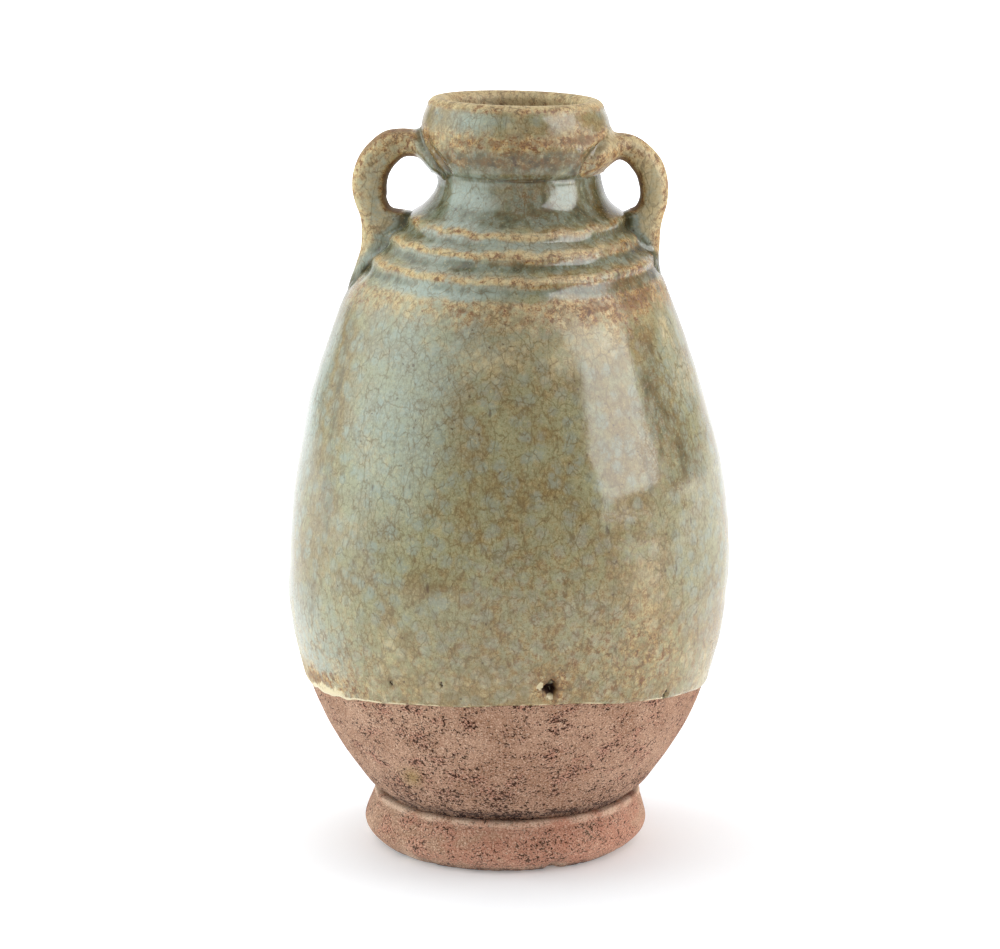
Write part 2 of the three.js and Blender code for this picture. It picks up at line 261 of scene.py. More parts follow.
def relief(turn, height):
    """What is added to the plain radius: ridges as bells of the height, throwing rings as
    slow waves, lumps, smears, and the seams under the cup and over the foot as grooves."""
    level = height - ridge_rise(turn)
    total = np.zeros(np.broadcast(turn, height).shape)
    for number, (centre, size, width) in enumerate(RIDGES):
        sway = ripples(turn, 0 * height, 5, 70, 18, SEED + 20 + number)
        total = total + size * (1 + 0.18 * sway) * bell(level, centre + 0.16 * sway, width)
    seam = CUP_FOOT - 0.4 * np.sin(np.radians(turn))
    total = total - 0.18 * bell(height, seam, 0.45) - 1.15 * bell(height, 11.2, 1.3)
    rings = np.sin(height * 1.05 + 0.5 * np.sin(np.radians(turn) + 1)) * 0.015
    lumps = 0.08 * ripples(turn, height, 14, 40, 16, SEED)
    lumps = lumps + 0.012 * ripples(turn, height, 20, 8, 4, SEED + 8)
    quiet = eased(height, 112, 106) + 0.25
    for points, width, rise, _, _, _ in SMEARS:
        total = total + rise * smear_share(turn, height, points, width)
    return total + (rings + lumps) * quiet


def bubble_distance(turn, height, centre, level):
    """Distance in mm over the skin from a burst bubble, uneven round it."""
    across = math.radians(1) * away(turn, centre) * 42.8
    up = height - level
    bearing = np.arctan2(up, across)
    uneven = 1 + 0.14 * np.sin(3 * bearing + 1) + 0.08 * np.sin(7 * bearing)
    return np.hypot(across, up * 0.85) * uneven


def smear_share(turn, height, points, width):
    """Bell of the distance over the skin, in mm, to the nearest part of a smear's path."""
    nearest_part = np.full(np.broadcast(turn, height).shape, 1e9)
    reach = math.radians(1) * np.clip(plain_radius(height), 15, None)
    for (turn_a, height_a), (turn_b, height_b) in zip(points, points[1:]):
        across, up = away(turn, turn_a) * reach, height - height_a
        along_across, along_up = (turn_b - turn_a) * reach, height_b - height_a
        share = (across * along_across + up * along_up) / (along_across**2 + along_up**2)
        share = np.clip(share, 0, 1)
        part = np.hypot(across - share * along_across, up - share * along_up)
        nearest_part = np.minimum(nearest_part, part)
    return bell(nearest_part, 0, width)


def broken_skin(turn, height):
    """How far a place lies in a burst bubble near the glaze's edge: 1 in its hole."""
    total = np.zeros(np.broadcast(turn, height).shape)
    for centre, level, size in BUBBLES:
        distance = bubble_distance(turn, height, centre, level)
        total = total + eased(distance, 1.45 * size, 0.8 * size)
    return total


def chipped_skin(turn, height):
    """How far a place lies in a chip at the large bubble: left of its hole, and under it."""
    centre, level, size = BUBBLES[0]
    left = bubble_distance(turn, height, centre - 2.6, level + 0.4)
    under = bubble_distance(turn, height, centre + 0.2, level - 1.7)
    chips = eased(left, 0.75 * size, 0.45 * size) + eased(under, 0.8 * size, 0.4 * size)
    return np.clip(chips, 0, 1)


def wall_radius(turn, height):
    """Clay radius of the pot's outside at any angle and height, less its bubbles and chips."""
    sunk = 3.2 * broken_skin(turn, height) + 0.35 * chipped_skin(turn, height)
    return plain_radius(height) + relief(turn, height) - sunk


def tilt(turn, height):
    """The mouth leans to one side: a drop towards +X that grows from neck to lip."""
    return -0.35 * np.sin(np.radians(turn)) * eased(height, 138, 149)


def placed(turn, radius, height):
    """Points at an angle, radius and height round the drifting centre, last axis x, y, z."""
    around = np.radians(turn)
    x = radius * np.sin(around) + drift(height)
    y = -radius * np.cos(around)
    return np.stack(np.broadcast_arrays(x, y, height + tilt(turn, height)), axis=-1)


def pushed(radius, height, by):
    """A profile, its rows along the first axis, moved by `by` to the right of its travel."""
    along_radius = np.gradient(radius, axis=0)
    along_height = np.gradient(height, axis=0)
    length = np.hypot(along_radius, along_height)
    return radius + by * along_height / length, height - by * along_radius / length


def glaze_line(turn):
    """Height of the glaze's lower edge: low at the handles, high in front and behind, with
    small waves where it ran, and ragged where it is crumbly at the left."""
    around = np.radians(turn)
    runs = 0.5 * np.sin(3 * around + 0.6) + 0.28 * np.sin(8 * around) + 0.16 * np.sin(17 * around + 2)
    ragged = np.sin(31 * around) + 0.7 * np.sin(53 * around + 1)
    ragged = 0.22 * ragged * bell(away(turn, CRUST), 0, 18)
    return GLAZE_EDGE + GLAZE_EDGE_DIP * np.cos(2 * around) + 0.5 * runs + ragged


# Meshes

def grid_object(name, points, wrapped_rows=False, poles=()):
    """Object from a grid of points in mm: columns close round, rows close when wrapped, and
    a pole is one more vertex that closes the first ("start") or last ("end") row."""
    rows, columns = points.shape[:2]
    numbers = np.arange(rows * columns).reshape(rows, columns)
    upper = np.roll(numbers, -1, axis=0)
    if not wrapped_rows:
        numbers, upper = numbers[:-1], upper[:-1]
    quads = np.stack([numbers, np.roll(numbers, -1, 1), np.roll(upper, -1, 1), upper], -1)
    loops = [quads.reshape(-1)]
    sizes = [np.full(quads.size // 4, 4)]
    vertices = [points.reshape(-1, 3)]
    for end in poles:
        row = 0 if end == "start" else rows - 1
        ring = row * columns + np.arange(columns)
        tip = np.full(columns, sum(len(v) for v in vertices))
        following = np.roll(ring, -1)
        fan = [following, ring, tip] if end == "start" else [ring, following, tip]
        loops.append(np.stack(fan, -1).reshape(-1))
        sizes.append(np.full(columns, 3))
        vertices.append(points[row].mean(axis=0)[None])
    vertices = np.concatenate(vertices)
    loops = np.concatenate(loops)
    sizes = np.concatenate(sizes)
    mesh = bpy.data.meshes.new(name)
    mesh.vertices.add(len(vertices))
    mesh.vertices.foreach_set("co", (vertices * MM).astype(np.float32).reshape(-1))
    mesh.loops.add(len(loops))
    mesh.loops.foreach_set("vertex_index", loops.astype(np.int32))
    mesh.polygons.add(len(sizes))
    starts = np.concatenate([[0], np.cumsum(sizes)[:-1]])
    mesh.polygons.foreach_set("loop_start", starts.astype(np.int32))
    mesh.polygons.foreach_set("use_smooth", np.ones(len(sizes), bool))
    mesh.update(calc_edges=True)
    if enclosed_volume(mesh) < 0:
        mesh.flip_normals()
    piece = bpy.data.objects.new(name, mesh)
    bpy.context.scene.collection.objects.link(piece)
    return piece


def enclosed_volume(mesh):
    """Signed volume of a closed mesh: a sixth of the triple products of its triangles."""
    mesh.calc_loop_triangles()
    corners = np.zeros(len(mesh.loop_triangles) * 3, np.int32)
    mesh.loop_triangles.foreach_get("vertices", corners)
    places = np.zeros(len(mesh.vertices) * 3, np.float32)
    mesh.vertices.foreach_get("co", places)
    a, b, c = places.reshape(-1, 3)[corners.reshape(-1, 3)].transpose(1, 0, 2).astype(float)
    return float(np.einsum("ij,ij->i", a, np.cross(b, c)).sum() / 6)


def mark(piece, name, values):
    """Stores one number per grid vertex as a named attribute; poles get 0."""
    filled = np.zeros(len(piece.data.vertices), np.float32)
    filled[: values.size] = values.reshape(-1)
    layer = piece.data.attributes.new(name, "FLOAT", "POINT")
    layer.data.foreach_set("value", filled)


def finish_piece(piece, slot, *nodes):
    """Gives a piece its material, slot and body, and hides the CAD nodes that it stands for."""
    name, maker = MATERIALS[slot]
    material = bpy.data.materials.get(name) or maker(bpy.context.scene.vase_colours)
    piece.data.materials.append(material)
    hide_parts(*nodes)
    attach(piece, "root")


def turns(columns):
    """Angles of the columns of a grid round the pot, as one row, closer together by the
    burst bubbles: even steps of the summed density, read back as angles."""
    fine = np.linspace(-180, 180, 3601)
    extra = sum(bell(fine[1:], centre, 2 + 3 * size) for centre, _, size in BUBBLES)
    reached = np.concatenate([[0], np.cumsum(1 + 2.5 * extra)])
    steps = np.linspace(0, reached[-1], columns, endpoint=False)
    return np.interp(steps, reached, fine)[None, :]


# Profiles of the clay pieces, as radius and height columns

def lip_arc(count):
    """Half an ellipse over the lip, from the cup's outside to its inside."""
    angle = np.linspace(0, np.pi, count)
    return LIP_CENTRE + LIP_HALF_WIDTH * np.cos(angle), WALL_TOP + LIP_RISE * np.sin(angle)


def bore_radius(height):
    """Radius inside the cup and neck: a straight bore that opens towards the lip."""
    opening = LIP_CENTRE - LIP_HALF_WIDTH - BORE_RADIUS
    return BORE_RADIUS + opening * eased(height, 135, WALL_TOP)


def hollow_radius(height):
    """Radius inside the body: two power curves that meet at the belly."""
    below = np.clip((BELLY - height) / (BELLY - FLOOR_TOP), 0, 1)
    above = np.clip((height - BELLY) / (NECK_FOOT - BELLY), 0, 1)
    return HOLLOW_RADIUS - 22.5 * below**2.6 - (HOLLOW_RADIUS - BORE_RADIUS) * above**2.7


def lowered(turn, height):
    """Moves rows near the glaze line up or down with it; nothing moves at floor or belly."""
    below = (height - FLOOR_TOP) / (GLAZE_EDGE - FLOOR_TOP)
    above = (BELLY - height) / (BELLY - GLAZE_EDGE)
    return height + np.clip(np.minimum(below, above), 0, 1) * (glaze_line(turn) - GLAZE_EDGE)


def body_points(columns):
    """Body: foot plate, egg-shaped outside up to the neck's foot, then down the hollow."""
    turn = turns(columns)
    outside_height = np.concatenate([np.arange(FOOT_TOP, 48, 0.4), np.linspace(48, NECK_FOOT, 40)])
    outside_height = outside_height[:, None]
    outside = placed(turn, wall_radius(turn, outside_height), outside_height)
    hollow_height = np.linspace(NECK_FOOT, FLOOR_TOP, 36)[:, None]
    hollow = placed(turn, hollow_radius(hollow_height), hollow_height)
    plate_radius = np.array([4, BORE_AT_FOOT, 22])[:, None]
    plate_height = np.array([FOOT_RECESS, FOOT_RECESS, 8.2])[:, None]
    plate = placed(turn, plate_radius, plate_height)
    floor = placed(turn, np.array([[8]]), np.array([[FLOOR_TOP - 0.3]]))
    return np.concatenate([plate, outside, hollow, floor])


def foot_points(columns):
    """Foot ring: a bulging band with a worn corner and a chip, a thin groove under its top,
    a flat rest and a straight bore."""
    turn = turns(columns)
    band = ((0, 24.6), (0.5, 25.5), (1.4, 26.6), (2.8, 27.9), (4.4, 28.55), (6.3, 28.2),
            (8.2, 27.55), (9.6, 27.15), (10.3, 26.95), (10.65, 26.6), (FOOT_TOP, 25.9))
    steps = ((10.8, 10, 8), (9.8, 2.7, 20), (2.4, 0, 16))
    heights = np.concatenate([np.linspace(*step) for step in steps])
    inner_height = np.array([0, 0, 0, 0.25, 1.2, 3.4, 5.5, 7.6, 9.8])
    inner_radius = np.array([23, 20.8, 18.6, 17.8, 17.5, 17.5, 17.5, 19, 22.5])
    radius = np.concatenate([curve_through(band, heights), inner_radius])[:, None]
    height = np.concatenate([heights, inner_height])[:, None]
    outer = eased(radius, 17.6, 23)
    wobble = 0.16 * ripples(turn, height, 8, 60, 18, SEED + 3) * outer
    worn = np.clip(ripples(turn, height, 16, 9, 3, SEED + 4), 0, 1.5)
    worn = 0.3 * worn * bell(height, 0.3, 0.9) * outer
    chip = bell(away(turn, 21.5), 0, 2.6) * bell(height, 0.4, 1.5) * eased(radius, 23, 24.5)
    line = bell(height + 0.25 * np.sin(np.radians(turn)), 9.3, 0.35) * eased(radius, 23, 25)
    return placed(turn, radius + wobble - 1.1 * chip - worn - 0.4 * line, height + 0.5 * chip)


def neck_points(columns):
    """Neck: the waisted outside and the straight bore."""
    turn = turns(columns)
    height = np.linspace(NECK_FOOT, CUP_FOOT, 24)[:, None]
    outside = placed(turn, wall_radius(turn, height), height)
    inside = placed(turn, bore_radius(height[::-1]), height[::-1])
    return np.concatenate([outside, inside])


def cup_points(columns):
    """Mouth cup: flared outside, rounded lip and the bore's opening."""
    turn = turns(columns)
    height = np.linspace(CUP_FOOT, WALL_TOP, 30)[:, None]
    outside = placed(turn, wall_radius(turn, height), height)
    lip = placed(turn, *(part[1:-1, None] for part in lip_arc(14)))
    inside = placed(turn, bore_radius(height[::-1]), height[::-1])
    return np.concatenate([outside, lip, inside])


# Handles

def station_curves(stations, count):
    """Edges and half widths down a handle, each a smooth curve through its stations."""
    table = np.array(stations)
    at = np.linspace(0, len(table) - 1, count)
    places = np.arange(len(table))
    return [curve_through(np.stack([places, column], 1), at) for column in table.T]


def angles_round(columns):
    """Angles round a handle's roll, as one row: 0 on its outer edge."""
    return np.linspace(0, 2 * np.pi, columns, endpoint=False)[None, :]


def squared_off(wave):
    """A cosine or sine with a slightly fuller curve, so that an oval gets fuller corners."""
    return np.sign(wave) * np.abs(wave) ** 0.92


def handle_points(stations, side, slope, soft, count, columns, inset):
    """A roll of clay along its stations: each row is an oval between the two edges. At the
    root the oval bends down along Y, as it wraps the cup: slope times the rounded distance
    |y|. Near the pot's wall it opens in a fillet. inset moves the skin inwards."""
    outer_x, outer_z, inner_x, inner_z, half = (c[:, None] for c in station_curves(stations, count))
    angle = angles_round(columns)
    mid_x, mid_z = (outer_x + inner_x) / 2, (outer_z + inner_z) / 2
    reach = np.hypot(outer_x - inner_x, outer_z - inner_z) / 2
    out_x, out_z = (outer_x - mid_x) / reach, (outer_z - mid_z) / reach
    lift = np.clip(reach - inset, 0.1, None) * squared_off(np.cos(angle))
    wide = np.clip(half - inset, 0.1, None) * squared_off(np.sin(angle))
    x = mid_x + out_x * lift
    z = mid_z + out_z * lift
    root = eased(mid_x, 19, 15.6) * (mid_z > 134)
    z = z - root * slope * (np.sqrt(wide**2 + soft**2) - soft)
    hug = np.clip(x - side * drift(z), wide**2 / 36, None)
    x = x - root * (hug - np.sqrt(np.clip(hug**2 - wide**2, 0, None)))
    points = np.stack(np.broadcast_arrays(side * x, side * wide, z), -1)
    outwards = np.cos(angle) / reach
    normal = side * out_x * outwards, side * np.sin(angle) / half, out_z * outwards
    normal = np.stack(np.broadcast_arrays(*normal), -1)
    normal = normal / np.linalg.norm(normal, axis=-1, keepdims=True)
    gap, wall_normal = wall_gap(points, GLAZE_THICKNESS - inset)
    across = 1 - np.abs((normal * wall_normal).sum(-1))
    corner = 1.6 + 0.9 * eased(normal[..., 2], 0.2, -0.8) - root * eased(normal[..., 2], 0, 0.8)
    inward = corner - np.clip(gap, 0, corner)
    opened = corner - np.sqrt(np.clip(corner**2 - inward**2, 0, None))
    points = points + normal * (opened * across * 0.85)[..., None]
    dents = 0.12 * ripples(np.degrees(angle), mid_z, 8, 160, 60, SEED + side)
    return points + normal * (dents * eased(gap, 0.5, 3))[..., None]


def wall_gap(points, above):
    """Distance of points from the pot's skin, which lies `above` over the clay, and the
    skin's normal there, from the slope of the radius over the height."""
    height = points[..., 2]
    x = points[..., 0] - drift(height)
    distance = np.hypot(x, points[..., 1])
    turn = np.degrees(np.arctan2(x, -points[..., 1]))
    radius = wall_radius(turn, height) + above
    slope = (plain_radius(height + 0.4) - plain_radius(height - 0.4)) / 0.8
    level = 1 / np.sqrt(1 + slope**2)
    normal = np.stack([x / distance * level, points[..., 1] / distance * level, -slope * level], -1)
    return (distance - radius) * level, normal


def nearest(points, cloud):
    """Distance from each point to the nearest of a cloud, in blocks to save memory."""
    found = np.zeros(len(points))
    for start in range(0, len(points), 400):
        block = points[start : start + 400]
        away_from = ((block[:, None, :] - cloud[None]) ** 2).sum(-1)
        found[start : start + 400] = np.sqrt(away_from.min(1))
    return found


# Stations, side, and the slope and roundness of each handle's bend round the cup
HANDLES = {
    "left": (LEFT_STATIONS, -1, 0.5, 1),
    "right": (RIGHT_STATIONS, 1, 0.45, 8),
}

# How thin and how milky each handle's glaze is
LOOP_TONES = {"left": (0.32, 1.35), "right": (0.5, 0.9)}


# Materials

class Nodes:
    """Shader nodes of one tree, made in short steps that take numbers or sockets, and the
    colour that its layers have built up so far."""

    def __init__(self, tree):
        self.tree = tree
        self.colour = None

    def feed(self, node, name, value):
        """Sets an input to a number or a colour, or links a socket to it."""
        if isinstance(value, bpy.types.NodeSocket):
            self.tree.links.new(value, node.inputs[name])
        else:
            node.inputs[name].default_value = value

    def add(self, kind, inputs=None, **settings):
        """A node with its settings and inputs."""
        made = self.tree.nodes.new(kind)
        for name, value in settings.items():
            setattr(made, name, value)
        for name, value in (inputs or {}).items():
            self.feed(made, name, value)
        return made

    def place(self, upright=1):
        """Object coordinates in millimetres, with the heights stretched."""
        coordinates = self.add("ShaderNodeTexCoord").outputs["Object"]
        scale = (1 / MM, 1 / MM, upright / MM)
        return self.add("ShaderNodeMapping", {"Vector": coordinates, "Scale": scale}).outputs["Vector"]

    def noise(self, place, scale, detail, roughness):
        """Noise about 0 to 1 with features 1/scale mm across."""
        inputs = {"Vector": place, "Scale": scale, "Detail": detail, "Roughness": roughness}
        return self.add("ShaderNodeTexNoise", inputs).outputs["Fac"]

    def cells(self, place, scale, feature="DISTANCE_TO_EDGE"):
        """Distance from the edges of irregular cells, each about 1/scale mm across, or with
        F1 from the nearest cell's middle, in cell sizes."""
        inputs = {"Vector": place, "Scale": scale}
        return self.add("ShaderNodeTexVoronoi", inputs, feature=feature).outputs["Distance"]

    def wandering(self, place, scale, reach):
        """Coordinates that wander by up to reach mm, so that cells lose their straight edges."""
        sway = self.add("ShaderNodeTexNoise", {"Vector": place, "Scale": scale, "Detail": 3})
        inputs = {0: sway.outputs["Color"], 1: (reach, reach, reach), 2: place}
        return self.add("ShaderNodeVectorMath", inputs, operation="MULTIPLY_ADD").outputs["Vector"]

    def ramp(self, value, low, high, start=0, end=1):
        """Smooth step of a value from start at low to end at high."""
        inputs = {"Value": value, "From Min": low, "From Max": high, "To Min": start, "To Max": end}
        return self.add("ShaderNodeMapRange", inputs, interpolation_type="SMOOTHSTEP").outputs["Result"]

    def maths(self, operation, *values):
        """One step of arithmetic."""
        return self.add("ShaderNodeMath", dict(enumerate(values)), operation=operation).outputs[0]

    def times(self, first, second):
        """Product of two values."""
        return self.maths("MULTIPLY", first, second)

    def summed(self, *parts):
        """Sum of values, each with its weight."""
        total = 0
        for value, weight in parts:
            total = self.maths("MULTIPLY_ADD", value, weight, total)
        return total

    def mixed(self, share, first, second, blend="MIX"):
        """Colour first, with second over it by share."""
        inputs = {0: share, 6: first, 7: second}
        return self.add("ShaderNodeMix", inputs, data_type="RGBA", blend_type=blend).outputs[2]

    def over(self, share, colour, blend="MIX"):
        """Lays a colour over the layers so far, by its share."""
        self.colour = self.mixed(share, self.colour, colour, blend)

    def attribute(self, name):
        """A number stored on the mesh."""
        return self.add("ShaderNodeAttribute", attribute_name=name).outputs["Fac"]

    def bump(self, shader, strength, depth, height):
        """Gives a shader bumps of that depth."""
        inputs = {"Strength": strength, "Distance": depth, "Height": height}
        self.feed(shader, "Normal", self.add("ShaderNodeBump", inputs).outputs["Normal"])


def new_material(name):
    """A new material, its nodes and its Principled shader."""
    material = bpy.data.materials.new(name)
    material.use_nodes = True
    tree = material.node_tree
    return material, Nodes(tree), tree.nodes["Principled BSDF"]


def glaze_fields(nodes):
    """What the glaze's layers are made from: numbers on the mesh, and noises from the widest
    to the finest, with streaks drawn out downwards and a web of fine specks."""
    place = nodes.place()
    grain = nodes.noise(place, 1.5, 4, 0.7)
    return SimpleNamespace(
        place=place,
        thick=nodes.attribute("thick"),
        toasted=nodes.attribute("toasted"),
        broken=nodes.attribute("broken"),
        regions=nodes.noise(place, 0.04, 3, 0.6),
        patches=nodes.noise(place, 0.16, 3, 0.6),
        streaks=nodes.noise(nodes.place(0.3), 0.4, 3, 0.6),
        mottle=nodes.noise(place, 0.55, 4, 0.6),
        flecked=nodes.noise(place, 0.85, 4, 0.72),
        grain=grain,
        web=nodes.summed((nodes.noise(place, 3.4, 2, 0.6), 0.5), (grain, 1)),
    )


def full_glaze(nodes, field, colours):
    """Glaze of full thickness: green or olive by region, with blots and a milky veil, and
    dark in runs where it pooled. Returns how free of veil and blots it is."""
    tone = nodes.summed((field.regions, 1), (field.patches, 0.5), (field.mottle, 0.4))
    nodes.colour = nodes.mixed(nodes.ramp(tone, 0.82, 1.08), colours.green, colours.olive)
    spots = nodes.cells(nodes.wandering(field.place, 0.5, 1.6), 0.33, "F1")
    clouds = nodes.times(nodes.ramp(spots, 0.62, 0.25), nodes.ramp(field.mottle, 0.33, 0.55, 0.1, 0.75))
    nodes.over(clouds, colours.cloud)
    milkiness = nodes.summed((nodes.attribute("milky"), 1), (field.patches, 0.8))
    veil = nodes.ramp(milkiness, 0.35, 1.3, 0, 0.85)
    nodes.over(veil, colours.milky)
    depth = nodes.summed((field.thick, 1), (field.patches, 0.6), (field.streaks, 0.9))
    pooled = nodes.ramp(depth, 0.95, 1.7)
    nodes.over(pooled, colours.pooled)
    nodes.over(nodes.times(pooled, nodes.ramp(field.streaks, 0.52, 0.42, 0, 0.7)), colours.cloud)
    nodes.over(nodes.times(pooled, nodes.ramp(field.streaks, 0.52, 0.64, 0, 0.7)), colours.deep)
    nodes.over(nodes.ramp(field.thick, 1, 2), colours.deep)
    return nodes.maths("SUBTRACT", 1, nodes.maths("MAXIMUM", nodes.times(veil, 0.7), clouds))


def thin_glaze(nodes, field, colours, clean):
    """Thin glaze: buff with stained specks, and golden with iron brown spots where it is
    toasted, dark brown where it is most toasted, which under the handles' loops is painted shade.
    Returns the share of the brown spots."""
    thin = nodes.summed((field.mottle, 1), (field.grain, 0.6), (field.thick, -1))
    nodes.over(nodes.ramp(thin, 0.8, 1.5, 0, 0.95), colours.buff)
    nodes.over(nodes.times(nodes.ramp(field.web, 0.72, 0.95, 0, 0.55), clean), colours.stain)
    nodes.over(nodes.ramp(field.web, 0.7, 0.52, 0, 0.4), colours.buff)
    burnt_and_shade = nodes.times(field.toasted, nodes.ramp(field.mottle, 0.36, 0.6, 0.25, 1.4))
    tint = nodes.mixed(nodes.ramp(field.flecked, 0.36, 0.52), colours.buff, colours.toasted)
    nodes.over(nodes.times(burnt_and_shade, 0.8), tint)
    # Dark brown where the toasting passes 1: the glaze's own iron brown where it is most toasted on the
    # pot, as round the burst bubble, and painted shade under the handles' loops and on the right root's
    # underside
    nodes.over(nodes.ramp(field.toasted, 1, 1.5, 0, 0.7), colours.burnt_and_shade)
    fine = nodes.ramp(field.web, 0.77, 0.9, 0, 0.8)
    specks = nodes.maths("MAXIMUM", fine, nodes.ramp(field.flecked, 0.52, 0.6, 0, 1.3))
    spots = nodes.times(burnt_and_shade, specks)
    nodes.over(spots, colours.burnt_and_shade)
    return spots


def crackle(nodes, field, colours, clean):
    """Stained lines between the cells of the crackle, smaller cells inside them and a few
    long cracks. Returns the distance from the edges of the main cells."""
    tall = nodes.place(0.62)
    cells = nodes.cells(nodes.wandering(tall, 0.6, 2.4), 0.34)
    small_cells = nodes.cells(nodes.wandering(tall, 1.3, 1.4), 0.85)
    long_cells = nodes.cells(nodes.wandering(nodes.place(0.3), 0.4, 1.5), 0.13)
    unbroken = nodes.ramp(field.mottle, 0.38, 0.58, 0.2, 1)
    nodes.over(nodes.times(nodes.ramp(cells, 0, 0.07, 0.65, 0), unbroken), colours.crack)
    gathered = nodes.times(nodes.ramp(field.patches, 0.35, 0.6), clean)
    nodes.over(nodes.times(nodes.ramp(small_cells, 0, 0.16, 0.5, 0), gathered), colours.stain)
    nodes.over(nodes.ramp(long_cells, 0, 0.012, 0.5, 0), colours.crack)
    return cells


def scars(nodes, field, colours):
    """Drawn-out scars, dark flecks, the crust of the edge and the holes of the bubbles."""
    drawn_out = nodes.cells(nodes.wandering(nodes.place(0.4), 0.7, 1.4), 0.17, "F1")
    nodes.over(nodes.ramp(drawn_out, 0.1, 0.03, 0, 0.6), colours.pit)
    flecks = nodes.cells(nodes.wandering(field.place, 1.1, 0.8), 0.5, "F1")
    flecks = nodes.times(nodes.ramp(flecks, 0.16, 0.08), nodes.ramp(field.patches, 0.45, 0.6, 0, 0.6))
    nodes.over(flecks, colours.pit)
    crust = nodes.summed((nodes.attribute("chipped"), 1), (field.web, 0.65))
    nodes.over(nodes.ramp(crust, 0.88, 1.1), colours.chip)
    nodes.over(nodes.ramp(field.broken, 0.3, 0.7), colours.pit)


def glaze_material(colours):
    """Crackled celadon. Each cell is milky in its middle and stained at its edges; the glaze
    is dark green where it pooled and buff with brown specks where it is thin."""
    material, nodes, principled = new_material("crackled_glaze")
    field = glaze_fields(nodes)
    clean = full_glaze(nodes, field, colours)
    spots = thin_glaze(nodes, field, colours, clean)
    cells = crackle(nodes, field, colours, clean)
    scars(nodes, field, colours)
    nodes.feed(principled, "Base Color", nodes.colour)
    dull = nodes.summed((field.mottle, 0.5), (field.thick, -1), (field.toasted, 0.45), (field.broken, 2))
    nodes.feed(principled, "Roughness", nodes.ramp(dull, 0.15, 1.3, 0.11, 0.6))
    raised_cells = nodes.ramp(cells, 0, 0.1, 0, 0.06)
    height = nodes.summed((field.mottle, 0.6), (raised_cells, 1), (spots, -0.8))
    nodes.bump(principled, 0.3, 0.15 * MM, height)
    nodes.feed(principled, "IOR", 1.55)
    return material


def clay_pits(nodes, wheel, darkened):
    """Open pits and finer ones, drawn out by the wheel and crowded where the clay is darker."""
    crowded = nodes.summed((nodes.noise(wheel, 0.2, 4, 0.7), 0.5), (darkened, 0.15))
    holes = nodes.noise(nodes.wandering(wheel, 1.2, 0.5), 1.4, 2, 0.6)
    open_pits = nodes.ramp(nodes.maths("ADD", holes, crowded), 0.868, 0.897)
    fine_holes = nodes.noise(wheel, 2.8, 1, 0.5)
    fine_pits = nodes.ramp(nodes.maths("ADD", fine_holes, crowded), 0.885, 0.925)
    return nodes.maths("MAXIMUM", open_pits, fine_pits)


def clay_material(colours):
    """Bare pink-brown stoneware: blotches, a red flush, grains, pits and worn edges, with painted shade in
    the groove over the foot and a painted highlight on the foot's top rim.
    """
    material, nodes, principled = new_material("bare_clay")
    place = nodes.place()
    wheel = nodes.place(1.35)
    grain = nodes.noise(place, 2.9, 3, 0.8)
    darkened = nodes.attribute("darkened")
    blotches = nodes.ramp(nodes.noise(place, 0.12, 4, 0.6), 0.35, 0.62)
    nodes.colour = nodes.mixed(blotches, colours.clay, colours.clay_pale)
    flush = nodes.summed((nodes.noise(wheel, 0.2, 3, 0.6), 1), (nodes.attribute("reddened"), 0.3))
    nodes.over(nodes.ramp(flush, 0.5, 0.75, 0, 0.9), colours.clay_red)
    # Darker clay: painted shade in the groove over the foot and above it, a darker patch at the body's
    # left, and the foot's darker resting edge
    nodes.over(nodes.times(darkened, 0.25), colours.clay_dark)
    nodes.over(nodes.ramp(grain, 0.53, 0.66, 0, 0.8), colours.clay_dark)
    nodes.over(nodes.ramp(grain, 0.47, 0.36), colours.clay_grain)
    pits = clay_pits(nodes, wheel, darkened)
    nodes.over(nodes.times(pits, 0.97), colours.pit)
    nodes.over(nodes.attribute("stained"), colours.ash, "MULTIPLY")
    # Pale rubbed edges of the foot; on its top rim partly a painted highlight
    rubbed_and_lit = nodes.times(nodes.attribute("worn"), nodes.ramp(grain, 0.6, 0.45, 0.2, 1))
    nodes.over(rubbed_and_lit, colours.clay_grain)
    nodes.feed(principled, "Base Color", nodes.colour)
    nodes.feed(principled, "Roughness", 0.95)
    nodes.feed(principled, "Specular IOR Level", 0.06)
    nodes.feed(principled, "Sheen Weight", 0.13)
    nodes.feed(principled, "Sheen Roughness", 0.4)
    nodes.bump(principled, 1, 0.4 * MM, nodes.summed((grain, 0.8), (pits, -0.6)))
    return material


# What each slot is made of
MATERIALS = {"clay": ("bare_clay", clay_material), "glaze": ("crackled_glaze", glaze_material)}


def linear(red, green, blue):
    """A screen colour, 0 to 255, as linear values."""
    parts = [c / 255 for c in (red, green, blue)]
    return tuple(c / 12.92 if c <= 0.04045 else ((c + 0.055) / 1.055) ** 2.4 for c in parts) + (1,)


def colour_property(name, description, red, green, blue):
    """A colour that a user may change, given as a screen colour from 0 to 255."""
    return bpy.props.FloatVectorProperty(
        name=name, description=description, default=linear(red, green, blue), size=4,
        min=0, max=1, subtype="COLOR",
    )


